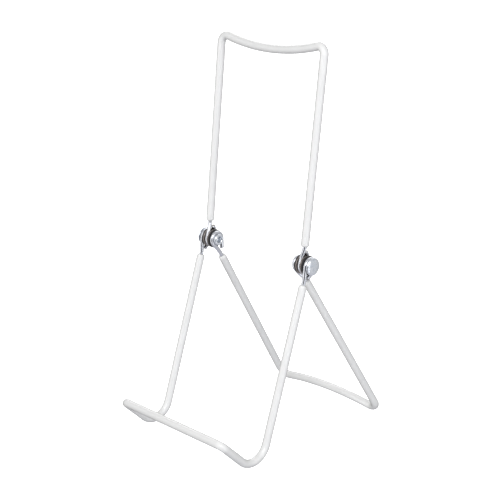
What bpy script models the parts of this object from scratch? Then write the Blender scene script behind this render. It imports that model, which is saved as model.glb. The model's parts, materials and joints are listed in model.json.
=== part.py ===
"""Folding wire display stand for a photo album.

Three bent steel wires, each in a vinyl coat, turn on two rivets that share one axis along X.
The stand looks towards -Y, +Z is up, the floor is Z = 0 and the origin is below its middle.
Run with: blender --background --python part.py
"""

import math

import bmesh
import bpy
from mathutils import Vector

MM = 0.001

# Wire and coat
WIRE_R = 1.30 * MM            # bare steel wire
COAT_R = 2.50 * MM            # outside of the vinyl coat
COAT_BORE_R = 1.60 * MM       # inside of the vinyl coat
COAT_END_R = 2.00 * MM        # the coat thins to this at its ends,
COAT_TAPER = 1.1 * MM         # over this length
SIDES = 12                    # facets round a wire
BEND_STEP = math.radians(16)  # most turn between two sections of a bend
BOW_STEP = math.radians(4)    # and of a bowed bar

# Eyes that the rivets hold
EYE_R = 4.05 * MM             # centreline radius of an eye
EYE_PITCH = 4.55 * MM         # from one eye to the next along the rivet
FRONT_EYE_X = 44.9 * MM       # the front frame's eyes are the outermost
BACK_EYE_X = FRONT_EYE_X - EYE_PITCH
REAR_EYE_X = BACK_EYE_X - EYE_PITCH
WIRE_OFFSET = 2.0 * MM        # a side wire runs this far in front of the rivet's axis,
JOG_AT = 9.8 * MM             # and swings out to the eye from here,
JOG_R = 8.0 * MM              # on this radius
TAIL = 6.7 * MM               # straight end of the wire past the eye,
TAIL_TURN = math.radians(30)  # which has closed this far towards the side wire

# Front frame: down to the feet, then forward and up to the lip
FRONT_LEAN = math.radians(17.9)
FRONT_LENGTH = 126.4 * MM
FRONT_NEAR_HALF = 44.6 * MM   # half the width between the side wires beside their eyes,
FRONT_FOOT_HALF = 44.4 * MM   # and at their far end
FOOT_BEND_R = 12.0 * MM
LIP_ANGLE = math.radians(64.4)
LIP_ARM = 40.0 * MM
LIP_CORNER_R = 3.6 * MM
FRONT_COAT_AT = 11.7 * MM     # where the coat starts, from the rivet's axis

# Back frame: up to its bowed top bar
BACK_LEAN = math.radians(6.3)
BACK_LENGTH = 127.5 * MM
BACK_NEAR_HALF = 41.1 * MM
BACK_TOP_HALF = 42.75 * MM
BACK_CORNER_R = 4.6 * MM
BACK_BOW = 6.0 * MM
BACK_COAT_AT = 11.0 * MM

# Rear leg: down to its bowed bar. Its lean follows from the floor
REAR_LENGTH = 130.6 * MM
REAR_NEAR_HALF = 36.7 * MM
REAR_FOOT_HALF = 43.35 * MM
REAR_CORNER_R = 6.0 * MM
REAR_BOW = 6.6 * MM
REAR_COAT_AT = 12.6 * MM
REAR_LEAN_RANGE = (math.radians(20), math.radians(50))

# Rivets and washers
STACK_GAP = 0.15 * MM         # between neighbours on a rivet
SHANK_R = EYE_R - WIRE_R - 0.09 * MM
HEAD_R = 5.4 * MM
HEAD_H = 2.3 * MM
HEAD_RIM_H = 0.5 * MM
ROLL_R = 3.60 * MM            # rolled-over end of the hollow shank
ROLL_H = 1.3 * MM
BORE_R = 1.70 * MM
BORE_DEPTH = 3.6 * MM
WASHER_BORE_R = 2.90 * MM
STEEL_WASHER_R = 5.7 * MM
STEEL_WASHER_H = 0.60 * MM
FIBRE_WASHER_R = 5.8 * MM
FIBRE_WASHER_H = 0.90 * MM
WASHER_CHAMFER = 0.15 * MM
TURN_FACETS = 24              # facets round a turned piece
HEAD_STEPS = 5
ROLL_STEPS = 6
MERGE = 1e-7

# Colour, roughness and metallic value of each material
PALETTE = {
    "steel_wire": ((0.72, 0.73, 0.76, 1), 0.28, 1.0),
    "white_vinyl": ((0.86, 0.86, 0.88, 1), 0.35, 0.0),
    "rivet_steel": ((0.78, 0.80, 0.83, 1), 0.22, 1.0),
    "washer_steel": ((0.42, 0.39, 0.37, 1), 0.40, 1.0),
    "dark_fibre": ((0.045, 0.042, 0.045, 1), 0.55, 0.0),
}


def clear_scene():
    for obj in list(bpy.data.objects):
        bpy.data.objects.remove(obj, do_unlink=True)


def make_materials():
    made = {}
    for name, (colour, roughness, metallic) in PALETTE.items():
        material = bpy.data.materials.new(name)
        material.use_nodes = True
        shader = material.node_tree.nodes["Principled BSDF"]
        shader.inputs["Base Color"].default_value = colour
        shader.inputs["Roughness"].default_value = roughness
        shader.inputs["Metallic"].default_value = metallic
        made[name] = material
    return made


# Wire paths. A path point is (x, n, s): s runs away from the rivets along the frame,
# and n towards the frame's front. Only the right-hand half is worked out.

def round_corner(before, corner, after, radius):
    """The arc that replaces a sharp corner, as points."""
    back = (before - corner).normalized()
    onward = (after - corner).normalized()
    inside = back.angle(onward)
    start = corner + back * (radius / math.tan(inside / 2))
    centre = corner + (back + onward).normalized() * (radius / math.sin(inside / 2))
    spoke = start - centre
    heading = -back * radius
    turn = math.pi - inside
    steps = max(2, math.ceil(turn / BEND_STEP))
    angles = [turn * i / steps for i in range(steps + 1)]
    return [centre + spoke * math.cos(a) + heading * math.sin(a) for a in angles]


def eye(eye_x, jog):
    """Level with its eye, round the rivet and back beside the side wire, up to the cut end."""
    reach = math.hypot(jog.y, jog.z)
    first = math.atan2(jog.z, jog.y) - math.acos(EYE_R / reach)
    last = -math.pi - TAIL_TURN
    steps = math.ceil((first - last) / BEND_STEP)
    angles = [first + (last - first) * i / steps for i in range(steps + 1)]
    points = [Vector((eye_x, EYE_R * math.cos(a), EYE_R * math.sin(a))) for a in angles]
    level = (jog + points[0]) / 2
    level.x = eye_x
    tail = Vector((0, math.sin(last), -math.cos(last))) * TAIL
    return [level] + points + [points[-1] + tail]


def side_wire(near_half, far_half, length):
    """A function that gives the side wire's point at a distance s from the axis."""
    def at(s):
        share = (s - JOG_AT) / (length - JOG_AT)
        return Vector((near_half + (far_half - near_half) * share, WIRE_OFFSET, s))
    return at


def bowed_bar(half, length, bow, corner_r):
    """Half of a bar that bows towards the rivets, from its middle to near its corner."""
    radius = (half ** 2 + bow ** 2) / (2 * bow)
    widest = math.asin((half - 1.6 * corner_r) / radius)
    steps = math.ceil(widest / BOW_STEP)
    angles = [widest * i / steps for i in range(steps + 1)]
    lowest = length - bow + radius
    return [Vector((radius * math.sin(a), WIRE_OFFSET, lowest - radius * math.cos(a))) for a in angles]


def with_side_and_eye(points, at, coat_at, eye_x):
    """Completes half a path. Returns it, and the index of the point where the coat ends."""
    jog = at(JOG_AT)
    points = points + [at(coat_at + COAT_TAPER), at(coat_at)]
    coat_end = len(points) - 1
    loop = eye(eye_x, jog)
    return points + round_corner(at(coat_at), jog, loop[0], JOG_R) + loop, coat_end


def front_half():
    at = side_wire(FRONT_NEAR_HALF, FRONT_FOOT_HALF, FRONT_LENGTH)
    foot = at(FRONT_LENGTH)
    tip = foot + Vector((0, math.sin(LIP_ANGLE), -math.cos(LIP_ANGLE))) * LIP_ARM
    middle = Vector((0, tip.y, tip.z))
    points = [middle]
    points += round_corner(middle, tip, foot, LIP_CORNER_R)
    points += round_corner(tip, foot, at(JOG_AT), FOOT_BEND_R)
    return with_side_and_eye(points, at, FRONT_COAT_AT, FRONT_EYE_X)


def back_half():
    at = side_wire(BACK_NEAR_HALF, BACK_TOP_HALF, BACK_LENGTH)
    points = bowed_bar(BACK_TOP_HALF, BACK_LENGTH, BACK_BOW, BACK_CORNER_R)
    points += round_corner(points[-1], at(BACK_LENGTH), at(JOG_AT), BACK_CORNER_R)
    return with_side_and_eye(points, at, BACK_COAT_AT, BACK_EYE_X)


def rear_half():
    at = side_wire(REAR_NEAR_HALF, REAR_FOOT_HALF, REAR_LENGTH)
    points = bowed_bar(REAR_FOOT_HALF, REAR_LENGTH, REAR_BOW, REAR_CORNER_R)
    points += round_corner(points[-1], at(REAR_LENGTH), at(JOG_AT), REAR_CORNER_R)
    return with_side_and_eye(points, at, REAR_COAT_AT, REAR_EYE_X)


def whole_path(half, up):
    """Both halves as (x, y, z) points about the rivets' axis, the frame upright or hanging."""
    mirrored = [Vector((-p.x, p.y, p.z)) for p in reversed(half[1:])]
    return [Vector((p.x, -p.y, p.z * up)) for p in mirrored + half]


# Meshes

def sections_along(points):
    """Each point with two axes of its cross-section, which turn as little as they can."""
    across = Vector((1, 0, 0))
    sections = []
    for i, point in enumerate(points):
        before = points[max(i - 1, 0)]
        after = points[min(i + 1, len(points) - 1)]
        inward = (point - before).normalized()
        outward = (after - point).normalized()
        along = (inward + outward).normalized()
        across = (across - along * across.dot(along)).normalized()
        sections.append((point, across, along.cross(across)))
    return sections


def ring_of_verts(bm, section, radius):
    point, across, other = section
    verts = []
    for i in range(SIDES):
        angle = 2 * math.pi * (i + 0.5) / SIDES
        verts.append(bm.verts.new(point + (across * math.cos(angle) + other * math.sin(angle)) * radius))
    return verts


def bridge_rings(bm, rings):
    """Faces between each ring of vertices and the next."""
    for ring, following in zip(rings, rings[1:]):
        for i in range(len(ring)):
            j = (i + 1) % len(ring)
            bm.faces.new((ring[i], ring[j], following[j], following[i]))


def finish_object(name, bm, material, parent):
    bmesh.ops.recalc_face_normals(bm, faces=bm.faces)
    mesh = bpy.data.meshes.new(name)
    bm.to_mesh(mesh)
    bm.free()
    mesh.shade_smooth()
    mesh.set_sharp_from_angle(angle=math.radians(40))
    mesh.materials.append(material)
    obj = bpy.data.objects.new(name, mesh)
    bpy.context.scene.collection.objects.link(obj)
    obj.parent = parent
    return obj


def wire(name, sections, material, parent):
    bm = bmesh.new()
    rings = [ring_of_verts(bm, section, WIRE_R) for section in sections]
    bridge_rings(bm, rings)
    bm.faces.new(rings[0])
    bm.faces.new(rings[-1])
    return finish_object(name, bm, material, parent)


def coat(name, sections, material, parent):
    """A sleeve open at both ends, where it thins out."""
    bm = bmesh.new()
    last = len(sections) - 1
    outer = [ring_of_verts(bm, s, COAT_END_R if i in (0, last) else COAT_R) for i, s in enumerate(sections)]
    inner = [ring_of_verts(bm, s, COAT_BORE_R) for s in sections]
    bridge_rings(bm, outer)
    bridge_rings(bm, inner)
    bridge_rings(bm, [outer[0], inner[0]])
    bridge_rings(bm, [outer[-1], inner[-1]])
    return finish_object(name, bm, material, parent)


def turned(name, profile, closed, material, parent):
    """A profile of (x, r) points spun round the rivets' axis."""
    bm = bmesh.new()
    verts = [bm.verts.new((x, r, 0)) for x, r in profile]
    edges = [bm.edges.new(pair) for pair in zip(verts, verts[1:])]
    if closed:
        edges.append(bm.edges.new((verts[-1], verts[0])))
    bmesh.ops.spin(bm, geom=verts + edges, axis=(1, 0, 0), cent=(0, 0, 0), angle=2 * math.pi,
                   steps=TURN_FACETS, use_merge=True)
    bmesh.ops.remove_doubles(bm, verts=bm.verts, dist=MERGE)
    return finish_object(name, bm, material, parent)


def washer(name, side, low_x, thickness, radius, material, parent):
    high_x = low_x + thickness
    c = WASHER_CHAMFER
    profile = [
        (low_x, WASHER_BORE_R),
        (low_x, radius - c),
        (low_x + c, radius),
        (high_x - c, radius),
        (high_x, radius - c),
        (high_x, WASHER_BORE_R),
    ]
    return turned(name, [(side * x, r) for x, r in profile], True, material, parent)


def rivet(name, side, material, parent):
    """Domed head outside, shank through the three eyes, hollow end rolled over inside."""
    head_x = FRONT_EYE_X + WIRE_R + STACK_GAP
    roll_x = REAR_EYE_X - WIRE_R - STACK_GAP
    dome_h = HEAD_H - HEAD_RIM_H
    profile = []
    for i in range(HEAD_STEPS + 1):
        angle = math.pi / 2 * i / HEAD_STEPS
        profile.append((head_x + HEAD_RIM_H + dome_h * math.cos(angle), HEAD_R * math.sin(angle)))
    profile += [(head_x, HEAD_R), (head_x, SHANK_R), (roll_x, SHANK_R)]
    crown_r = (ROLL_R + BORE_R) / 2
    half_roll = (ROLL_R - BORE_R) / 2
    for i in range(ROLL_STEPS + 1):
        angle = math.pi * i / ROLL_STEPS
        profile.append((roll_x - ROLL_H * math.sin(angle), crown_r + half_roll * math.cos(angle)))
    profile += [(roll_x + BORE_DEPTH - ROLL_H, BORE_R), (roll_x + BORE_DEPTH, 0)]
    return turned(name, [(side * x, r) for x, r in profile], False, material, parent)


# Assembly

def lowest_z(obj, lean):
    """The lowest point of a frame's mesh, turned by lean about the rivets' axis."""
    return min(v.co.y * math.sin(lean) + v.co.z * math.cos(lean) for v in obj.data.vertices)


def lean_to_stand(obj, floor_z):
    """The lean at which the rear leg reaches the floor, by halving its range."""
    steep, flat = REAR_LEAN_RANGE
    for _ in range(40):
        middle = (steep + flat) / 2
        if lowest_z(obj, middle) < floor_z:
            steep = middle
        else:
            flat = middle
    return (steep + flat) / 2


def span_y(obj, lean):
    ys = [v.co.y * math.cos(lean) - v.co.z * math.sin(lean) for v in obj.data.vertices]
    return min(ys), max(ys)


def add_axis(name):
    empty = bpy.data.objects.new(name, None)
    bpy.context.scene.collection.objects.link(empty)
    return empty


def add_frame(name, half, coat_end, up, materials):
    """A wire and its coat, hung on an empty on the rivets' axis."""
    axis = add_axis(name + "_axis")
    sections = sections_along(whole_path(half, up))
    middle = len(half) - 1
    wire(name + "_wire", sections, materials["steel_wire"], axis)
    sleeve = coat(name + "_coat", sections[middle - coat_end:middle + coat_end + 1],
                  materials["white_vinyl"], axis)
    return axis, sleeve


def add_hinge(side_name, side, axes, materials):
    """A rivet and the four washers between its three eyes."""
    front_axis, back_axis, rear_axis = axes
    steel = materials["washer_steel"]
    fibre = materials["dark_fibre"]
    beside_eye = WIRE_R + STACK_GAP
    rivet("rivet_" + side_name, side, materials["rivet_steel"], front_axis)
    washer("fibre_washer_outer_" + side_name, side, FRONT_EYE_X - beside_eye - FIBRE_WASHER_H,
           FIBRE_WASHER_H, FIBRE_WASHER_R, fibre, front_axis)
    washer("steel_washer_outer_" + side_name, side, BACK_EYE_X + beside_eye,
           STEEL_WASHER_H, STEEL_WASHER_R, steel, back_axis)
    washer("steel_washer_inner_" + side_name, side, BACK_EYE_X - beside_eye - STEEL_WASHER_H,
           STEEL_WASHER_H, STEEL_WASHER_R, steel, back_axis)
    washer("fibre_washer_inner_" + side_name, side, REAR_EYE_X + beside_eye,
           FIBRE_WASHER_H, FIBRE_WASHER_R, fibre, rear_axis)


def main():
    clear_scene()
    materials = make_materials()
    front_axis, front_sleeve = add_frame("front", *front_half(), -1, materials)
    back_axis, _ = add_frame("back", *back_half(), 1, materials)
    rear_axis, rear_sleeve = add_frame("rear", *rear_half(), -1, materials)
    axes = (front_axis, back_axis, rear_axis)
    add_hinge("left", -1, axes, materials)
    add_hinge("right", 1, axes, materials)

    floor_z = lowest_z(front_sleeve, -FRONT_LEAN)
    rear_lean = lean_to_stand(rear_sleeve, floor_z)
    front_y = span_y(front_sleeve, -FRONT_LEAN)[0]
    rear_y = span_y(rear_sleeve, rear_lean)[1]
    for axis, lean in zip(axes, (-FRONT_LEAN, -BACK_LEAN, rear_lean)):
        axis.location = (0, -(front_y + rear_y) / 2, -floor_z)
        axis.rotation_euler = (lean, 0, 0)


main()
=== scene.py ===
"""Looks of a folding wire stand that holds a photo album open.

Three frames of bright steel wire, each dipped in white vinyl, turn on two hollow rivets.
"""

import json
import math

import bmesh
import bpy
from mathutils import Matrix, Vector

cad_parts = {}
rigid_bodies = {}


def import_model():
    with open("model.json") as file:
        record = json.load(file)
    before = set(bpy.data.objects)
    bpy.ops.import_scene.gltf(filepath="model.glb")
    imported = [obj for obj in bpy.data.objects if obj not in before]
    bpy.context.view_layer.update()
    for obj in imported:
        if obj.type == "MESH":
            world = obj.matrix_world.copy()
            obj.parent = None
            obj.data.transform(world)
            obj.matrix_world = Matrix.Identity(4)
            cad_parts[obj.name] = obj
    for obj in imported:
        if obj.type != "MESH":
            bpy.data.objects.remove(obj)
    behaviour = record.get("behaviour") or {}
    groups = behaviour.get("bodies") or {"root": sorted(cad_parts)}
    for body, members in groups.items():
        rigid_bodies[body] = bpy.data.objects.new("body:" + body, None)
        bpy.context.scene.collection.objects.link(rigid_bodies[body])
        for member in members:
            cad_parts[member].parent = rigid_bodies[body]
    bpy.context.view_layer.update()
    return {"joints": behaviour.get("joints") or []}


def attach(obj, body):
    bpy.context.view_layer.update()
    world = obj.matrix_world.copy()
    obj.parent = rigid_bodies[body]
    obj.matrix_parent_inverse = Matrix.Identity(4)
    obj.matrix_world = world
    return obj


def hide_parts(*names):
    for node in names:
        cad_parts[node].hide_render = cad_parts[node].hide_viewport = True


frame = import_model()

MM = 0.001
RIVET_AXIS = Vector(frame["joints"][0]["pos_m"])  # runs along X through this point

# Wire and vinyl
WIRE_R = 1.30 * MM
WIRE_SIDES = 32
COAT_R = 2.50 * MM
COAT_SIDES = 40
SNUG_R = WIRE_R + 0.05 * MM      # inside of the vinyl
SHOULDER = 1.6 * MM              # over this length the vinyl thins down to the wire
SHOULDER_STEPS = 9
FINE_STEP = 1.6 * MM             # between rings where the surface shows
COARSE_STEP = 6.0 * MM           # and where it is hidden
BEND_STEP = math.radians(7)
COAT_LUMP = 7 * MM               # the vinyl swells and thins a little along the wire
COAT_SWELL = 0.12 * MM

# Edges flatter than these angles, in degrees, are shaded smooth
WIRE_SMOOTH = 40
COAT_SMOOTH = 60
TURNED_SMOOTH = 35

# Eyes, and the way a side wire reaches its eye
EYE_R = 4.05 * MM
EYE_PITCH = 4.55 * MM
FRONT_EYE_X = 44.9 * MM
BACK_EYE_X = FRONT_EYE_X - EYE_PITCH
REAR_EYE_X = BACK_EYE_X - EYE_PITCH
WIRE_OFFSET = 2.0 * MM
JOG_AT = 9.8 * MM
JOG_R = 8.0 * MM
TAIL = 6.7 * MM                  # straight, from the eye to the cut
TAIL_TURN = math.radians(30)     # how much further than half a turn the eye goes
CUT_CHAMFER = 0.16 * MM
CUT_INSET = 0.4 * WIRE_R         # between the cut face's edge and the ring inside it

# Each frame: how it stands, its side wires, and where its vinyl starts
UP = 1
DOWN = -1
FRONT_LEAN = math.radians(-17.9)
FRONT_LENGTH = 126.4 * MM
FRONT_NEAR_HALF = 44.6 * MM
FRONT_FOOT_HALF = 44.4 * MM
FOOT_BEND_R = 12.0 * MM
LIP_ANGLE = math.radians(64.4)
LIP_ARM = 40.0 * MM
LIP_CORNER_R = 3.6 * MM
FRONT_COAT_AT = 11.7 * MM
BACK_LEAN = math.radians(-6.3)
BACK_LENGTH = 127.5 * MM
BACK_NEAR_HALF = 41.1 * MM
BACK_TOP_HALF = 42.75 * MM
BACK_CORNER_R = 4.6 * MM
BACK_BOW = 6.0 * MM
BACK_COAT_AT = 11.0 * MM
REAR_LEAN = math.radians(32.2369)
REAR_LENGTH = 130.6 * MM
REAR_NEAR_HALF = 36.7 * MM
REAR_FOOT_HALF = 43.35 * MM
REAR_CORNER_R = 6.0 * MM
REAR_BOW = 6.6 * MM
REAR_COAT_AT = 12.6 * MM

# Rivets and washers
STACK_GAP = 0.15 * MM
SHANK_R = EYE_R - WIRE_R - 0.09 * MM
HEAD_R = 5.4 * MM
HEAD_H = 2.3 * MM
HEAD_RIM_H = 0.5 * MM
HEAD_EDGE_X = 0.4 * MM           # the rim's rounding along X and outwards,
HEAD_EDGE_R = 0.35 * MM
HEAD_EDGE_BACK = 0.1 * MM        # centred this far behind the foot of the dome
ROLL_R = 3.60 * MM
ROLL_H = 1.3 * MM
BORE_R = 1.70 * MM
BORE_DEPTH = 3.6 * MM
BORE_FLOOR = [                   # a shallow cone: distance past the depth, share of the radius
    (-0.5 * MM, 0.96),
    (0.0, 0.6),
    (0.2 * MM, 0.1),
]
WASHER_BORE_R = 2.90 * MM
STEEL_WASHER_R = 5.7 * MM
STEEL_WASHER_H = 0.60 * MM
FIBRE_WASHER_R = 5.8 * MM
FIBRE_WASHER_H = 0.90 * MM
STEEL_SOFTNESS = 0.14 * MM       # rounding of the punched edges
FIBRE_SOFTNESS = 0.18 * MM
DENT_SIZE = 1.6 * MM             # rivets and washers are a little dented
DENT_DEPTH = 0.07 * MM
TURN_SIDES = 72


# Small helpers

def start_object(name, *materials):
    """Names the primitive that was just added, and puts its place into its mesh."""
    obj = bpy.context.object
    obj.name = name
    bpy.ops.object.transform_apply(location=True, rotation=True)
    for material in materials:
        obj.data.materials.append(material)
    bpy.ops.object.mode_set(mode="EDIT")
    return obj


def add_ring(radius, sides, centre):
    """A ring of edges that faces along X."""
    bpy.ops.mesh.primitive_circle_add(vertices=sides, radius=radius, location=centre,
                                      rotation=(0, math.pi / 2, 0))


def pick(obj, wanted):
    """Selects the vertices for which wanted is true, and nothing else."""
    bpy.ops.mesh.select_all(action="DESELECT")
    mesh = bmesh.from_edit_mesh(obj.data)
    for v in mesh.verts:
        v.select_set(wanted(v))
    mesh.select_flush(True)
    bmesh.update_edit_mesh(obj.data)


def edit_layers(obj):
    """The mesh in edit mode, and its layers: the place on the straight wire, and the first ring."""
    mesh = bmesh.from_edit_mesh(obj.data)
    return mesh, mesh.verts.layers.float_vector["unbent"], mesh.verts.layers.int["first_ring"]


def extrude(step):
    bpy.ops.mesh.extrude_region_move(TRANSFORM_OT_translate={"value": step})


def close_up(smooth_angle):
    """Merges the seams, turns the faces outwards and leaves edit mode."""
    bpy.ops.mesh.select_all(action="SELECT")
    bpy.ops.mesh.remove_doubles(threshold=0.002 * MM)
    bpy.ops.mesh.normals_make_consistent(inside=False)
    bpy.ops.object.mode_set(mode="OBJECT")
    bpy.ops.object.shade_smooth_by_angle(angle=math.radians(smooth_angle))


def only(obj):
    bpy.ops.object.select_all(action="DESELECT")
    obj.select_set(True)
    bpy.context.view_layer.objects.active = obj


def settle(obj, lean=0.0):
    """Hangs the piece on the rivets' axis at its lean, and puts that into its mesh."""
    only(obj)
    obj.location = RIVET_AXIS
    obj.rotation_euler = (lean, 0, 0)
    bpy.ops.object.transform_apply(location=True, rotation=True)


def roughen(obj, size, strength, group=""):
    """Moves the surface in and out a little, in soft lumps of this size."""
    only(obj)
    lumps = bpy.data.textures.new(obj.name + "_lumps", "CLOUDS")
    lumps.noise_scale = size
    lumps.noise_depth = 1
    swell = obj.modifiers.new("swell", "DISPLACE")
    swell.texture = lumps
    swell.texture_coords = "LOCAL"
    swell.strength = strength
    swell.mid_level = 0.5
    swell.vertex_group = group
    bpy.ops.object.modifier_apply(modifier=swell.name)


# Bending wire. In a frame's own space X runs along the rivets, the frame's front is -Y and
# the frame stands up or hangs down along Z.

class Bender:
    """Draws a ring on along a path, and notes on each new one its place on the straight wire."""

    def __init__(self, obj, start, side):
        self.obj = obj
        self.point = start.copy()
        self.heading = Vector((side, 0, 0))
        self.side = side
        self.length = 0.0

    def note(self):
        mesh, unbent, _ = edit_layers(self.obj)
        for v in mesh.verts:
            if v.select:
                v[unbent] = (v[unbent].x, v[unbent].y, self.side * self.length)

    def straight(self, end, step):
        run = end - self.point
        pieces = max(1, round(run.length / step))
        for _ in range(pieces):
            extrude(run / pieces)
            self.length += run.length / pieces
            self.note()
        self.point = end.copy()
        self.heading = run.normalized()

    def bend(self, centre, angle, step=BEND_STEP):
        spoke = self.point - centre
        axis = spoke.cross(self.heading).normalized()
        pieces = max(2, round(angle / step))
        for _ in range(pieces):
            bpy.ops.mesh.spin(steps=1, angle=-angle / pieces, center=centre, axis=axis)
            self.length += spoke.length * angle / pieces
            self.note()
        turn = Matrix.Rotation(angle, 3, axis)
        self.point = centre + turn @ spoke
        self.heading = turn @ self.heading

    def corner(self, sharp, after, radius, step, bend_step=BEND_STEP):
        """Straight on towards a sharp corner, then round it on this radius."""
        onward = (after - sharp).normalized()
        arriving = (sharp - self.point).normalized()
        angle = arriving.angle(onward)
        reach = radius * math.tan(angle / 2)
        self.straight(sharp - arriving * reach, step)
        self.bend(self.point + (onward - arriving * arriving.dot(onward)).normalized() * radius,
                  angle, bend_step)

    def grow(self, advance, factor):
        """One more ring, further along and wider or narrower."""
        extrude(self.heading * advance)
        self.point = self.point + self.heading * advance
        self.length += advance
        self.note()
        bpy.ops.transform.resize(value=(factor, factor, factor), center_override=self.point)


def side_points(side, near_half, far_half, length, stands):
    """A function that gives the side wire's point at a distance s from the rivets."""
    def at(s):
        share = (s - JOG_AT) / (length - JOG_AT)
        half = near_half + (far_half - near_half) * share
        return Vector((side * half, -WIRE_OFFSET, stands * s))
    return at


def bowed_bar_and_corner(bender, at, half, length, bow, corner_r, stands, step):
    """Half of a bar that bows towards the rivets, and the corner that joins it to the side wire."""
    bow_r = (half ** 2 + bow ** 2) / (2 * bow)
    bow_centre = Vector((0, -WIRE_OFFSET, stands * (length - bow + bow_r)))
    towards_far = (at(length) - at(JOG_AT)).normalized()
    inward = Vector((-bender.side, 0, 0))
    inward = (inward - towards_far * inward.dot(towards_far)).normalized()
    base = at(JOG_AT) + inward * corner_r - bow_centre
    along = base.dot(towards_far)
    apart = bow_r + corner_r
    advance = -along - math.sqrt(along ** 2 - base.length_squared + apart ** 2)
    corner_centre = bow_centre + base + towards_far * advance
    meeting = (corner_centre - bow_centre) / apart
    bow_angle = math.asin(abs(meeting.x))
    bender.bend(bow_centre, bow_angle, step / bow_r)
    bender.bend(corner_centre, bender.heading.angle(-towards_far))


def lip_and_foot(bender, at, stands, step):
    """The lip's bar, its corner, its arm and the foot bend."""
    foot = at(FRONT_LENGTH)
    tip = foot + Vector((0, -math.sin(LIP_ANGLE), -stands * math.cos(LIP_ANGLE))) * LIP_ARM
    bender.corner(tip, foot, LIP_CORNER_R, step)
    bender.corner(foot, at(JOG_AT), FOOT_BEND_R, step)


def eye_and_tail(bender, at, coat_at, eye_x, stands):
    """From the end of the vinyl round the rivet and back beside the side wire."""
    jog = at(JOG_AT)
    eye_centre = Vector((bender.side * eye_x, 0, 0))
    reach = jog - eye_centre
    reach.x = 0
    lead = math.acos(EYE_R / reach.length)
    first = Matrix.Rotation(stands * lead, 3, "X") @ reach.normalized() * EYE_R + eye_centre
    bender.straight(at(coat_at), COARSE_STEP)
    level = (jog + first) / 2
    level.x = eye_centre.x
    bender.corner(jog, level, JOG_R, FINE_STEP)
    bender.straight(level, FINE_STEP)
    bender.straight(first, FINE_STEP)
    around = math.atan2(abs(reach.z), -reach.y) - lead + math.pi + TAIL_TURN
    bender.bend(eye_centre, around)
    bender.straight(bender.point + bender.heading * (TAIL - CUT_CHAMFER), FINE_STEP)


FRAMES = {
    "front": dict(stands=DOWN, lean=FRONT_LEAN, eye_x=FRONT_EYE_X, coat_at=FRONT_COAT_AT,
                  near_half=FRONT_NEAR_HALF, far_half=FRONT_FOOT_HALF, length=FRONT_LENGTH),
    "back": dict(stands=UP, lean=BACK_LEAN, eye_x=BACK_EYE_X, coat_at=BACK_COAT_AT,
                 near_half=BACK_NEAR_HALF, far_half=BACK_TOP_HALF, length=BACK_LENGTH,
                 bow=BACK_BOW, corner_r=BACK_CORNER_R),
    "rear": dict(stands=DOWN, lean=REAR_LEAN, eye_x=REAR_EYE_X, coat_at=REAR_COAT_AT,
                 near_half=REAR_NEAR_HALF, far_half=REAR_FOOT_HALF, length=REAR_LENGTH,
                 bow=REAR_BOW, corner_r=REAR_CORNER_R),
}


def bar_middle(facts):
    """The middle of the frame's bar, where both halves of its wire start."""
    if "bow" in facts:
        return Vector((0, -WIRE_OFFSET, facts["stands"] * (facts["length"] - facts["bow"])))
    return Vector((0, -WIRE_OFFSET - math.sin(LIP_ANGLE) * LIP_ARM,
                   facts["stands"] * (facts["length"] - math.cos(LIP_ANGLE) * LIP_ARM)))


def sweep(obj, facts, step, finish_half):
    """Adds a ring at the middle of the bar and draws it along both halves of the frame's path."""
    start = bar_middle(facts)
    mesh, unbent, first_ring = edit_layers(obj)
    for v in mesh.verts:
        v[first_ring] = 0
        if v.select:
            v[unbent] = (v.co.y - start.y, v.co.z - start.z, 0)
            v[first_ring] = 1
    for side in (1, -1):
        _, unbent, first_ring = edit_layers(obj)
        pick(obj, lambda v: v[first_ring] == 1 and v[unbent].z == 0)
        bender = Bender(obj, start, side)
        at = side_points(side, facts["near_half"], facts["far_half"], facts["length"],
                         facts["stands"])
        if "bow" in facts:
            bowed_bar_and_corner(bender, at, facts["far_half"], facts["length"], facts["bow"],
                                 facts["corner_r"], facts["stands"], step)
        else:
            lip_and_foot(bender, at, facts["stands"], step)
        finish_half(bender, at)


def start_sweep(name, facts, radius, sides, *materials):
    bpy.ops.object.select_all(action="DESELECT")
    add_ring(radius, sides, bar_middle(facts))
    obj = start_object(name, *materials)
    mesh = bmesh.from_edit_mesh(obj.data)
    mesh.verts.layers.float_vector.new("unbent")
    mesh.verts.layers.int.new("first_ring")
    return obj


def bent_wire(key, steel, cut_steel):
    facts = FRAMES[key]
    obj = start_sweep(key + "_frame_wire", facts, WIRE_R, WIRE_SIDES, steel, cut_steel)

    def to_the_cut(bender, at):
        eye_and_tail(bender, at, facts["coat_at"], facts["eye_x"], facts["stands"])
        bender.grow(CUT_CHAMFER, 1 - CUT_CHAMFER / WIRE_R)
        bpy.ops.mesh.edge_face_add()
        bpy.ops.mesh.inset(thickness=CUT_INSET, depth=0)
        bpy.ops.mesh.select_more()
        obj.active_material_index = 1
        bpy.ops.object.material_slot_assign()

    sweep(obj, facts, COARSE_STEP, to_the_cut)
    close_up(WIRE_SMOOTH)
    settle(obj, facts["lean"])
    return obj


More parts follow.
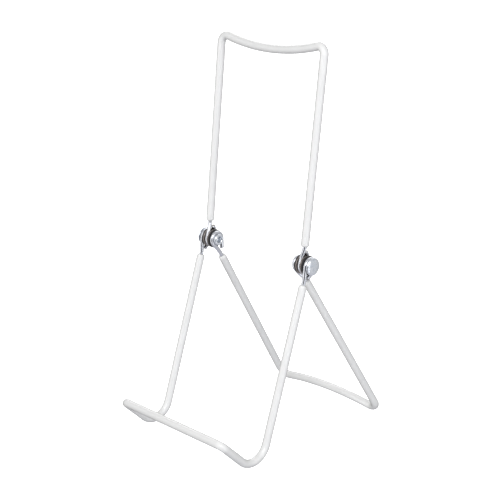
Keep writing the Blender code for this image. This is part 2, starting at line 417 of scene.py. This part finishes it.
def dipped_coat(key, vinyl):
    """The vinyl: an outer skin with rounded shoulders, and an inner wall that hugs the wire."""
    facts = FRAMES[key]
    obj = start_sweep(key + "_frame_coat", facts, COAT_R, COAT_SIDES, vinyl)

    def to_the_shoulder(bender, at):
        bender.straight(at(facts["coat_at"] + SHOULDER), FINE_STEP)
        radius = COAT_R
        covered = 0.0
        for i in range(1, SHOULDER_STEPS + 1):
            angle = math.pi / 2 * i / SHOULDER_STEPS
            following = SNUG_R + (COAT_R - SNUG_R) * math.cos(angle)
            bender.grow(SHOULDER * math.sin(angle) - covered, following / radius)
            covered = SHOULDER * math.sin(angle)
            radius = following

    def to_the_end(bender, at):
        bender.straight(at(facts["coat_at"]), COARSE_STEP)

    sweep(obj, facts, FINE_STEP, to_the_shoulder)
    bpy.ops.mesh.select_all(action="SELECT")
    bpy.ops.object.mode_set(mode="OBJECT")
    skin = obj.vertex_groups.new(name="skin")
    skin.add(range(len(obj.data.vertices)), 1.0, "REPLACE")
    bpy.ops.object.mode_set(mode="EDIT")
    bpy.ops.mesh.select_all(action="DESELECT")
    add_ring(SNUG_R, COAT_SIDES, bar_middle(facts))
    sweep(obj, facts, COARSE_STEP, to_the_end)
    close_up(COAT_SMOOTH)
    roughen(obj, COAT_LUMP, COAT_SWELL, "skin")
    settle(obj, facts["lean"])
    return obj


# Turned pieces: a profile of (x, radius) points, drawn on ring by ring round the rivets' axis

def turned(name, profile, *materials):
    bpy.ops.object.select_all(action="DESELECT")
    x, radius = profile[0]
    add_ring(radius, TURN_SIDES, (x, 0, 0))
    obj = start_object(name, *materials)
    for next_x, next_radius in profile[1:]:
        extrude(Vector((next_x - x, 0, 0)))
        factor = next_radius / radius
        bpy.ops.transform.resize(value=(1, factor, factor), center_override=(next_x, 0, 0))
        x = next_x
        radius = next_radius
    return obj


def arc(centre_x, centre_r, radius_x, radius_r, first, last, steps):
    """Points on an ellipse, angles from the +X direction towards +radius."""
    angles = [math.radians(first + (last - first) * i / steps) for i in range(steps + 1)]
    return [(centre_x + radius_x * math.cos(a), centre_r + radius_r * math.sin(a)) for a in angles]


def flipped(obj, name):
    """The same piece for the other end of the axis, with a mesh of its own."""
    twin = obj.copy()
    twin.data = obj.data.copy()
    twin.name = name
    bpy.context.scene.collection.objects.link(twin)
    only(twin)
    twin.scale = (-1, 1, 1)
    bpy.ops.object.transform_apply(scale=True)
    bpy.ops.object.mode_set(mode="EDIT")
    close_up(TURNED_SMOOTH)
    return twin


def hollow_rivet(name, steel):
    """Domed head outside, shank through the three eyes, hollow end rolled over inside."""
    head_x = FRONT_EYE_X + WIRE_R + STACK_GAP
    roll_x = REAR_EYE_X - WIRE_R - STACK_GAP
    dome_x = head_x + HEAD_RIM_H
    dome = arc(dome_x, 0, HEAD_H - HEAD_RIM_H, HEAD_R, 2, 80, 16)
    rim = arc(dome_x - HEAD_EDGE_BACK, HEAD_R - HEAD_EDGE_R, HEAD_EDGE_X, HEAD_EDGE_R, 60, -90, 8)
    crown_r = (ROLL_R + BORE_R) / 2
    half_roll = (ROLL_R - BORE_R) / 2
    roll = [(roll_x - x, r) for x, r in arc(0, crown_r, ROLL_H, half_roll, 90, -90, 20)]
    floor_x = roll_x + BORE_DEPTH - ROLL_H
    profile = dome + rim + [(head_x, SHANK_R), (roll_x, SHANK_R)] + roll
    profile += [(floor_x + past, BORE_R * share) for past, share in BORE_FLOOR]
    obj = turned(name, profile, steel)
    bpy.ops.mesh.select_all(action="SELECT")
    bpy.ops.mesh.fill_holes(sides=0)
    close_up(TURNED_SMOOTH)
    return obj


def stamped_washer(name, low_x, thickness, radius, softness, material):
    """A flat ring whose punched side has soft edges and whose other side has crisp ones."""
    high_x = low_x + thickness
    soft = softness
    crisp = softness * 0.4
    profile = [(low_x, WASHER_BORE_R + soft)]
    profile += [(low_x, radius - soft * 1.5)]
    profile += arc(low_x + soft, radius - soft, soft, soft, 170, 90, 5)
    profile += [(low_x + thickness * 0.55, radius + 0.01 * MM)]
    profile += arc(high_x - crisp, radius - crisp, crisp, crisp, 90, 0, 3)
    profile += [(high_x, radius - soft * 2)]
    profile += [(high_x, WASHER_BORE_R + crisp)]
    profile += arc(high_x - crisp, WASHER_BORE_R + crisp, crisp, crisp, -10, -90, 3)
    profile += arc(low_x + soft, WASHER_BORE_R + soft, soft, soft, -90, -180, 4)
    obj = turned(name, profile, material)
    close_up(TURNED_SMOOTH)
    return obj


# Finishes. The patterns read places in metres, so a scale of 1000 repeats each millimetre.

def new_material(name, colour, roughness, metallic):
    material = bpy.data.materials.new(name)
    material.use_nodes = True
    shader = material.node_tree.nodes["Principled BSDF"]
    shader.inputs["Base Color"].default_value = (*colour, 1)
    shader.inputs["Roughness"].default_value = roughness
    shader.inputs["Metallic"].default_value = metallic
    return material, material.node_tree, shader


def add_node(tree, kind, **settings):
    """A new node. Each setting is the value of an input, or else a property of the node."""
    node = tree.nodes.new(kind)
    for key, value in settings.items():
        if key in node.inputs:
            node.inputs[key].default_value = value
        else:
            setattr(node, key, value)
    return node


def group_of(name, inputs, outputs):
    """A new shader node group with its sockets, as (tree, input node, output node)."""
    tree = bpy.data.node_groups.new(name, "ShaderNodeTree")
    for socket, kind, value in inputs:
        made = tree.interface.new_socket(socket, in_out="INPUT", socket_type=kind)
        if value is not None:
            made.default_value = value
    for socket, kind in outputs:
        tree.interface.new_socket(socket, in_out="OUTPUT", socket_type=kind)
    return tree, tree.nodes.new("NodeGroupInput"), tree.nodes.new("NodeGroupOutput")


def pattern(tree, group, place, **values):
    """Puts a group into a material, with its own values, and returns the pattern it makes."""
    node = tree.nodes.new("ShaderNodeGroup")
    node.node_tree = GROUPS[group]
    tree.links.new(place, node.inputs["Place"])
    for key, value in values.items():
        node.inputs[key].default_value = value
    return node.outputs[0]


VECTOR = "NodeSocketVector"
FLOAT = "NodeSocketFloat"


def streaks_group():
    """Fine lines along the straight wire, as a drawing die leaves them."""
    tree, given, out = group_of(
        "drawn_streaks",
        [("Place", VECTOR, None), ("Fineness", FLOAT, 4000.0), ("Length", FLOAT, 40.0)],
        [("Streak", FLOAT)])
    stretch = add_node(tree, "ShaderNodeCombineXYZ")
    tree.links.new(given.outputs["Fineness"], stretch.inputs["X"])
    tree.links.new(given.outputs["Fineness"], stretch.inputs["Y"])
    tree.links.new(given.outputs["Length"], stretch.inputs["Z"])
    scaled = add_node(tree, "ShaderNodeVectorMath", operation="MULTIPLY")
    tree.links.new(given.outputs["Place"], scaled.inputs[0])
    tree.links.new(stretch.outputs[0], scaled.inputs[1])
    noise = add_node(tree, "ShaderNodeTexNoise", Scale=1.0, Detail=3.0, Roughness=0.6)
    tree.links.new(scaled.outputs[0], noise.inputs["Vector"])
    tree.links.new(noise.outputs[0], out.inputs["Streak"])
    return tree


def mottle_group():
    """Soft uneven patches, with the contrast raised, from 0 to 1."""
    tree, given, out = group_of(
        "mottle",
        [("Place", VECTOR, None), ("Scale", FLOAT, 300.0),
         ("Low", FLOAT, 0.35), ("High", FLOAT, 0.65)],
        [("Patch", FLOAT)])
    noise = add_node(tree, "ShaderNodeTexNoise", Detail=4.0, Roughness=0.55)
    tree.links.new(given.outputs["Place"], noise.inputs["Vector"])
    tree.links.new(given.outputs["Scale"], noise.inputs["Scale"])
    spread = add_node(tree, "ShaderNodeMapRange", interpolation_type="SMOOTHSTEP")
    tree.links.new(noise.outputs[0], spread.inputs["Value"])
    tree.links.new(given.outputs["Low"], spread.inputs["From Min"])
    tree.links.new(given.outputs["High"], spread.inputs["From Max"])
    tree.links.new(spread.outputs[0], out.inputs["Patch"])
    return tree


def nicks_group():
    """Sparse small marks with sharp edges, 1 in a mark and 0 elsewhere."""
    tree, given, out = group_of(
        "nicks",
        [("Place", VECTOR, None), ("Scale", FLOAT, 900.0), ("Amount", FLOAT, 0.2)],
        [("Nick", FLOAT)])
    warp = add_node(tree, "ShaderNodeTexNoise", Detail=2.0)
    tree.links.new(given.outputs["Place"], warp.inputs["Vector"])
    tree.links.new(given.outputs["Scale"], warp.inputs["Scale"])
    cells = add_node(tree, "ShaderNodeTexVoronoi", feature="F1", Randomness=1.0)
    tree.links.new(given.outputs["Place"], cells.inputs["Vector"])
    tree.links.new(given.outputs["Scale"], cells.inputs["Scale"])
    nearer = add_node(tree, "ShaderNodeMath", operation="SUBTRACT")
    tree.links.new(given.outputs["Amount"], nearer.inputs[0])
    tree.links.new(cells.outputs["Distance"], nearer.inputs[1])
    kept = add_node(tree, "ShaderNodeMath", operation="MULTIPLY")
    tree.links.new(nearer.outputs[0], kept.inputs[0])
    tree.links.new(warp.outputs[0], kept.inputs[1])
    spread = add_node(tree, "ShaderNodeMapRange")
    spread.inputs["From Min"].default_value = 0.0
    spread.inputs["From Max"].default_value = 0.06
    tree.links.new(kept.outputs[0], spread.inputs["Value"])
    tree.links.new(spread.outputs[0], out.inputs["Nick"])
    return tree


def joint_shade_and_grease_group():
    """Painted shade with grey grease and dust, gathered close to the rivets' axis where the eyes
    and washers stack, broken up by patches.
    """
    tree, given, out = group_of(
        "joint_shade_and_grease",
        [("Place", VECTOR, None), ("Reach", FLOAT, 8 * MM), ("Patchiness", FLOAT, 900.0)],
        [("Shade_and_grease", FLOAT)])
    from_axis = add_node(tree, "ShaderNodeVectorMath", operation="SUBTRACT")
    from_axis.inputs[1].default_value = RIVET_AXIS
    tree.links.new(given.outputs["Place"], from_axis.inputs[0])
    flat = add_node(tree, "ShaderNodeVectorMath", operation="MULTIPLY")
    flat.inputs[1].default_value = (0, 1, 1)
    tree.links.new(from_axis.outputs[0], flat.inputs[0])
    distance = add_node(tree, "ShaderNodeVectorMath", operation="LENGTH")
    tree.links.new(flat.outputs[0], distance.inputs[0])
    near = add_node(tree, "ShaderNodeMapRange", interpolation_type="SMOOTHSTEP")
    near.inputs["To Min"].default_value = 1.0
    near.inputs["To Max"].default_value = 0.0
    tree.links.new(distance.outputs["Value"], near.inputs["Value"])
    tree.links.new(given.outputs["Reach"], near.inputs["From Max"])
    noise = add_node(tree, "ShaderNodeTexNoise", Detail=4.0, Roughness=0.6)
    tree.links.new(given.outputs["Place"], noise.inputs["Vector"])
    tree.links.new(given.outputs["Patchiness"], noise.inputs["Scale"])
    patches = add_node(tree, "ShaderNodeMapRange")
    patches.inputs["From Min"].default_value = 0.35
    patches.inputs["From Max"].default_value = 0.7
    tree.links.new(noise.outputs[0], patches.inputs["Value"])
    both = add_node(tree, "ShaderNodeMath", operation="MULTIPLY")
    tree.links.new(near.outputs[0], both.inputs[0])
    tree.links.new(patches.outputs[0], both.inputs[1])
    tree.links.new(both.outputs[0], out.inputs["Shade_and_grease"])
    return tree


GROUPS = {
    "streaks": streaks_group(),
    "mottle": mottle_group(),
    "nicks": nicks_group(),
    # Painted shade with grease, darker close to the rivets' axis
    "shade_and_grease": joint_shade_and_grease_group(),
}


def object_place(tree):
    return add_node(tree, "ShaderNodeTexCoord").outputs["Object"]


def unbent_place(tree):
    """The place that each point had while the wire was straight."""
    return add_node(tree, "ShaderNodeAttribute", attribute_name="unbent").outputs["Vector"]


def blend_colours(tree, mask, first, second):
    """Mixes by a mask. Each of first and second is a colour or a socket."""
    mix = add_node(tree, "ShaderNodeMix", data_type="RGBA")
    tree.links.new(mask, mix.inputs[0])
    for socket, value in ((mix.inputs[6], first), (mix.inputs[7], second)):
        if isinstance(value, tuple):
            socket.default_value = (*value, 1)
        else:
            tree.links.new(value, socket)
    return mix.outputs[2]


def remap(tree, value, low, high):
    """A value from 0 to 1, spread between low and high."""
    spread = add_node(tree, "ShaderNodeMapRange")
    spread.inputs["To Min"].default_value = low
    spread.inputs["To Max"].default_value = high
    tree.links.new(value, spread.inputs["Value"])
    return spread.outputs[0]


def add_up(tree, *values):
    total = values[0]
    for value in values[1:]:
        node = add_node(tree, "ShaderNodeMath", operation="ADD")
        tree.links.new(total, node.inputs[0])
        tree.links.new(value, node.inputs[1])
        total = node.outputs[0]
    return total


def bump(tree, shader, height, strength, distance):
    node = add_node(tree, "ShaderNodeBump", Strength=strength, Distance=distance)
    tree.links.new(height, node.inputs["Height"])
    tree.links.new(node.outputs[0], shader.inputs["Normal"])


def bright_wire_steel():
    """Bright zinc over drawn wire: die lines along it, small nicks, painted shade with grease near
    the rivets.
    """
    material, tree, shader = new_material("bright_wire_steel", (0.78, 0.79, 0.82), 0.2, 1.0)
    unbent = unbent_place(tree)
    place = object_place(tree)
    streak = pattern(tree, "streaks", unbent, Fineness=3500.0, Length=45.0)
    patch = pattern(tree, "mottle", unbent, Scale=420.0)
    nick = pattern(tree, "nicks", unbent, Scale=700.0, Amount=0.16)
    # Painted shade with grease: the wire turns near black close to the rivets' axis, where the eyes
    # sit between the washers.
    shade_and_grease = pattern(tree, "shade_and_grease", place, Reach=6.5 * MM)
    zinc = blend_colours(tree, patch, (0.80, 0.81, 0.84), (0.68, 0.70, 0.75))
    lined = blend_colours(tree, remap(tree, streak, -0.4, 1.1), (0.60, 0.61, 0.65), zinc)
    shaded_and_greased = blend_colours(tree, remap(tree, shade_and_grease, 0.0, 0.55), lined, (0.16, 0.15, 0.15))
    nicked = blend_colours(tree, nick, shaded_and_greased, (0.42, 0.41, 0.42))
    tree.links.new(nicked, shader.inputs["Base Color"])
    rough = add_up(tree, remap(tree, streak, 0.06, 0.26), remap(tree, shade_and_grease, 0.0, 0.3))
    tree.links.new(rough, shader.inputs["Roughness"])
    bump(tree, shader, add_up(tree, streak, remap(tree, nick, 0.0, -1.0)), 0.12, 0.02 * MM)
    return material


def cut_wire_steel():
    """The sheared end of a wire: dull torn grey with no zinc on it, and a little rust."""
    material, tree, shader = new_material("cut_wire_steel", (0.32, 0.31, 0.31), 0.5, 1.0)
    place = object_place(tree)
    tear = pattern(tree, "streaks", place, Fineness=2500.0, Length=9000.0)
    rust = pattern(tree, "mottle", place, Scale=1500.0, Low=0.55, High=0.75)
    grey = blend_colours(tree, tear, (0.20, 0.19, 0.19), (0.50, 0.49, 0.48))
    tree.links.new(blend_colours(tree, remap(tree, rust, 0.0, 0.6), grey, (0.17, 0.11, 0.08)),
                   shader.inputs["Base Color"])
    tree.links.new(remap(tree, tear, 0.3, 0.6), shader.inputs["Roughness"])
    bump(tree, shader, tear, 0.7, 0.06 * MM)
    return material


def dipped_vinyl():
    """White vinyl with painted shade that greys it where it is seen edge on: faint runs, orange
    peel, handling dirt.
    """
    material, tree, shader = new_material("dipped_vinyl", (0.84, 0.84, 0.83), 0.2, 0.0)
    shader.inputs["IOR"].default_value = 1.53
    unbent = unbent_place(tree)
    place = object_place(tree)
    runs = pattern(tree, "streaks", unbent, Fineness=700.0, Length=30.0)
    patch = pattern(tree, "mottle", place, Scale=60.0)
    peel = add_node(tree, "ShaderNodeTexNoise", Scale=900.0, Detail=2.0, Roughness=0.4)
    tree.links.new(unbent, peel.inputs["Vector"])
    speck = pattern(tree, "nicks", unbent, Scale=260.0, Amount=0.07)
    white = blend_colours(tree, patch, (0.87, 0.87, 0.865), (0.82, 0.82, 0.815))
    streaked = blend_colours(tree, remap(tree, runs, -0.3, 1.0), (0.80, 0.80, 0.80), white)
    marked = blend_colours(tree, remap(tree, speck, 0.0, 0.35), streaked, (0.55, 0.54, 0.52))
    # Painted shade: the white turns grey where the surface is seen edge on.
    painted_edge_shade = add_node(tree, "ShaderNodeLayerWeight", Blend=0.15).outputs["Facing"]
    tree.links.new(blend_colours(tree, remap(tree, painted_edge_shade, 0.0, 2.3), marked, (0.34, 0.34, 0.33)),
                   shader.inputs["Base Color"])
    rough = add_up(tree, remap(tree, patch, 0.11, 0.19), remap(tree, peel.outputs[0], -0.03, 0.06))
    tree.links.new(rough, shader.inputs["Roughness"])
    bump(tree, shader, add_up(tree, peel.outputs[0], runs), 0.25, 0.04 * MM)
    return material


def rivet_steel():
    """Bright rivet: soft patches where it was struck, fine mottling, small nicks."""
    material, tree, shader = new_material("bright_rivet_steel", (0.80, 0.82, 0.85), 0.2, 1.0)
    place = object_place(tree)
    patch = pattern(tree, "mottle", place, Scale=700.0, Low=0.4, High=0.62)
    fine = pattern(tree, "mottle", place, Scale=3200.0)
    nick = pattern(tree, "nicks", place, Scale=900.0, Amount=0.2)
    struck = blend_colours(tree, patch, (0.84, 0.86, 0.89), (0.66, 0.70, 0.76))
    marked = blend_colours(tree, remap(tree, fine, 0.0, 0.25), struck, (0.45, 0.47, 0.50))
    nicked = blend_colours(tree, nick, marked, (0.36, 0.37, 0.40))
    tree.links.new(nicked, shader.inputs["Base Color"])
    tree.links.new(add_up(tree, remap(tree, patch, 0.16, 0.30), remap(tree, fine, -0.02, 0.06)),
                   shader.inputs["Roughness"])
    height = add_up(tree, patch, remap(tree, nick, 0.0, -1.0), remap(tree, fine, 0.0, 0.3))
    bump(tree, shader, height, 0.4, 0.04 * MM)
    return material


def washer_steel():
    """Brown-grey washer steel: uneven tarnish, darker scratches, painted shade with grease close to
    the rivets.
    """
    material, tree, shader = new_material("brown_washer_steel", (0.42, 0.38, 0.35), 0.36, 1.0)
    place = object_place(tree)
    shear = pattern(tree, "streaks", place, Fineness=4200.0, Length=4200.0)
    patch = pattern(tree, "mottle", place, Scale=650.0)
    # Painted shade with grease: the washer darkens to near black towards the rivets' axis, between
    # the eyes.
    shade_and_grease = pattern(tree, "shade_and_grease", place, Reach=6.2 * MM, Patchiness=1300.0)
    brown = blend_colours(tree, patch, (0.52, 0.48, 0.45), (0.36, 0.32, 0.29))
    lined = blend_colours(tree, shear, (0.24, 0.21, 0.20), brown)
    tree.links.new(blend_colours(tree, remap(tree, shade_and_grease, 0.0, 0.6), lined, (0.07, 0.065, 0.06)),
                   shader.inputs["Base Color"])
    tree.links.new(remap(tree, shear, 0.22, 0.48), shader.inputs["Roughness"])
    bump(tree, shader, shear, 0.5, 0.05 * MM)
    return material


def pressed_fibre():
    """Black pressed fibre: fuzzy grain, a little grey dust."""
    material, tree, shader = new_material("pressed_fibre", (0.03, 0.028, 0.03), 0.6, 0.0)
    place = object_place(tree)
    grain = add_node(tree, "ShaderNodeTexNoise", Scale=3800.0, Detail=6.0, Roughness=0.7)
    tree.links.new(place, grain.inputs["Vector"])
    dust = pattern(tree, "mottle", place, Scale=1100.0, Low=0.5, High=0.75)
    black = blend_colours(tree, grain.outputs[0], (0.012, 0.011, 0.012), (0.05, 0.046, 0.048))
    tree.links.new(blend_colours(tree, remap(tree, dust, 0.0, 0.45), black, (0.12, 0.115, 0.11)),
                   shader.inputs["Base Color"])
    tree.links.new(remap(tree, grain.outputs[0], 0.45, 0.8), shader.inputs["Roughness"])
    bump(tree, shader, grain.outputs[0], 0.6, 0.08 * MM)
    return material


# The stand's pieces

def add_frames(wire_steel, cut_steel, vinyl):
    for key, body in (("front", "front_frame"), ("back", "back_frame"), ("rear", "rear_leg")):
        wire = bent_wire(key, wire_steel, cut_steel)
        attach(wire, body)
        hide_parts(key + "_wire")
        coat = dipped_coat(key, vinyl)
        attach(coat, body)
        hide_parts(key + "_coat")


def add_pair(right, left_name, node, body):
    """The right-hand piece and its mirrored copy, dented each in its own way."""
    left = flipped(right, left_name)
    for obj, side in ((right, "right"), (left, "left")):
        settle(obj)
        roughen(obj, DENT_SIZE, DENT_DEPTH)
        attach(obj, body)
        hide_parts(node + "_" + side)


def add_hinges(steel, brown_steel, fibre):
    beside = WIRE_R + STACK_GAP
    rivet = hollow_rivet("right_rivet", steel)
    add_pair(rivet, "left_rivet", "rivet", "front_frame")
    outer_fibre_x = FRONT_EYE_X - beside - FIBRE_WASHER_H
    inner_steel_x = BACK_EYE_X - beside - STEEL_WASHER_H
    washers = [
        ("outer_fibre_washer", "fibre_washer_outer", outer_fibre_x, "front_frame"),
        ("outer_steel_washer", "steel_washer_outer", BACK_EYE_X + beside, "back_frame"),
        ("inner_steel_washer", "steel_washer_inner", inner_steel_x, "back_frame"),
        ("inner_fibre_washer", "fibre_washer_inner", REAR_EYE_X + beside, "rear_leg"),
    ]
    for name, node, low_x, body in washers:
        if "steel" in name:
            ring = stamped_washer("right_" + name, low_x, STEEL_WASHER_H, STEEL_WASHER_R,
                                  STEEL_SOFTNESS, brown_steel)
            add_pair(ring, "left_" + name, node, body)
        else:
            ring = stamped_washer("right_" + name, low_x, FIBRE_WASHER_H, FIBRE_WASHER_R,
                                  FIBRE_SOFTNESS, fibre)
            add_pair(ring, "left_" + name, node, body)


# The studio

CAMERA_AZIMUTH = math.radians(46.26)
CAMERA_ELEVATION = math.radians(16.22)
CAMERA_DISTANCE = 0.75554
CAMERA_LENS = 89.177
CAMERA_AIM = Vector((-5.74, 1.459, 111.46)) * MM

FLOOR_GLOW = 0.9
FLOOR_SIZE = 12
FLOOR_DROP = 0.3 * MM            # below the feet, so that they never share a surface with it
LIGHT_DISTANCE = 1.3
LIGHTS_AIM = Vector((0, 0, 0.12))
SOFTBOXES = [                    # name, azimuth, elevation, width, height, power, colour
    ("left_strip", -20.7, -4, 0.2, 2.4, 3.6, (1.0, 1.0, 1.0)),
    ("right_strip", 88.3, -4, 0.2, 2.4, 3.6, (0.98, 0.985, 1.0)),
    ("high_softbox", 41.3, 30, 1.1, 0.8, 9, (1.0, 1.0, 1.0)),
    ("back_softbox", 226.3, 34, 1.1, 0.8, 6, (1.0, 1.0, 1.0)),
]
LEFT_OF_CAMERA = math.radians(-67)
RIGHT_OF_CAMERA = math.radians(62)
ROOM = (0.62, 0.62, 0.62)
DARK_GAP = (0.10, 0.10, 0.11)
LEFT_SCREEN = (0.84, 0.84, 0.84)
RIGHT_SCREEN = (0.72, 0.73, 0.75)
CEILING = (0.72, 0.72, 0.72)
GROUND = (0.64, 0.64, 0.69)
# How far each patch of the room reaches, in degrees: where it fades out, and where it is full
DARK_GAP_REACH = (40, 26)
LEFT_SCREEN_REACH = (40, 28)
RIGHT_SCREEN_REACH = (50, 38)
CEILING_REACH = (75, 40)
GROUND_REACH = (60, 35)


def direction(azimuth, elevation):
    """Towards a place seen from the stand: azimuth 0 is in front of it, and 90 degrees is +X."""
    flat = math.cos(elevation)
    return Vector((math.sin(azimuth) * flat, -math.cos(azimuth) * flat, math.sin(elevation)))


def add_camera():
    back = direction(CAMERA_AZIMUTH, CAMERA_ELEVATION)
    bpy.ops.object.camera_add(location=CAMERA_AIM + back * CAMERA_DISTANCE,
                              rotation=back.to_track_quat("Z", "Y").to_euler())
    camera = bpy.context.object
    camera.data.sensor_width = 36
    camera.data.lens = CAMERA_LENS
    bpy.context.scene.camera = camera


def add_softbox(name, azimuth, elevation, width, height, power, colour):
    back = direction(math.radians(azimuth), math.radians(elevation))
    bpy.ops.object.light_add(type="AREA", location=LIGHTS_AIM + back * LIGHT_DISTANCE,
                             rotation=back.to_track_quat("Z", "Y").to_euler())
    light = bpy.context.object
    light.name = name
    light.data.shape = "RECTANGLE"
    light.data.size = width
    light.data.size_y = height
    light.data.energy = power
    light.data.color = colour


def add_floor():
    """A pale sheet that only the camera sees, and only from above."""
    bpy.ops.mesh.primitive_plane_add(size=FLOOR_SIZE, location=(0, 0, -FLOOR_DROP))
    floor = bpy.context.object
    floor.name = "pale_floor"
    material, tree, shader = new_material("pale_paper", (0.78, 0.78, 0.79), 0.9, 0.0)
    shader.inputs["Specular IOR Level"].default_value = 0.0
    shader.inputs["Emission Color"].default_value = (1, 1, 1, 1)
    shader.inputs["Emission Strength"].default_value = FLOOR_GLOW
    underside = add_node(tree, "ShaderNodeNewGeometry").outputs["Backfacing"]
    tree.links.new(remap(tree, underside, 1.0, 0.0), shader.inputs["Alpha"])
    floor.data.materials.append(material)
    floor.visible_glossy = False
    floor.visible_diffuse = False
    floor.visible_shadow = False


def add_patch_of_light(tree, way, middle, reach, under, colour):
    """A soft-edged patch of the room round a direction, over whatever is there already."""
    facing = add_node(tree, "ShaderNodeVectorMath", operation="DOT_PRODUCT")
    tree.links.new(way, facing.inputs[0])
    facing.inputs[1].default_value = middle
    edge = add_node(tree, "ShaderNodeMapRange", interpolation_type="SMOOTHSTEP")
    edge.inputs["From Min"].default_value = math.cos(math.radians(reach[0]))
    edge.inputs["From Max"].default_value = math.cos(math.radians(reach[1]))
    tree.links.new(facing.outputs["Value"], edge.inputs["Value"])
    return blend_colours(tree, edge.outputs[0], under, colour)


def add_surroundings():
    """A pale room with white screens to the left and right of a dark gap behind the camera."""
    world = bpy.data.worlds.new("studio_room")
    bpy.context.scene.world = world
    world.use_nodes = True
    tree = world.node_tree
    way = add_node(tree, "ShaderNodeTexCoord").outputs["Generated"]
    flat = add_node(tree, "ShaderNodeVectorMath", operation="MULTIPLY")
    flat.inputs[1].default_value = (1, 1, 0)
    tree.links.new(way, flat.inputs[0])
    heading = add_node(tree, "ShaderNodeVectorMath", operation="NORMALIZE")
    tree.links.new(flat.outputs[0], heading.inputs[0])
    level = heading.outputs[0]
    left = direction(CAMERA_AZIMUTH + LEFT_OF_CAMERA, 0)
    right = direction(CAMERA_AZIMUTH + RIGHT_OF_CAMERA, 0)
    front = direction(CAMERA_AZIMUTH, 0)
    room = add_patch_of_light(tree, level, front, DARK_GAP_REACH, ROOM, DARK_GAP)
    room = add_patch_of_light(tree, level, left, LEFT_SCREEN_REACH, room, LEFT_SCREEN)
    room = add_patch_of_light(tree, level, right, RIGHT_SCREEN_REACH, room, RIGHT_SCREEN)
    room = add_patch_of_light(tree, way, (0, 0, 1), CEILING_REACH, room, CEILING)
    room = add_patch_of_light(tree, way, (0, 0, -1), GROUND_REACH, room, GROUND)
    tree.links.new(room, tree.nodes["Background"].inputs["Color"])


def add_studio():
    add_camera()
    add_floor()
    add_surroundings()
    for softbox in SOFTBOXES:
        add_softbox(*softbox)
    bpy.context.scene.view_settings.view_transform = "Standard"


wire_steel = bright_wire_steel()
add_frames(wire_steel, cut_wire_steel(), dipped_vinyl())
add_hinges(rivet_steel(), washer_steel(), pressed_fibre())
add_studio()
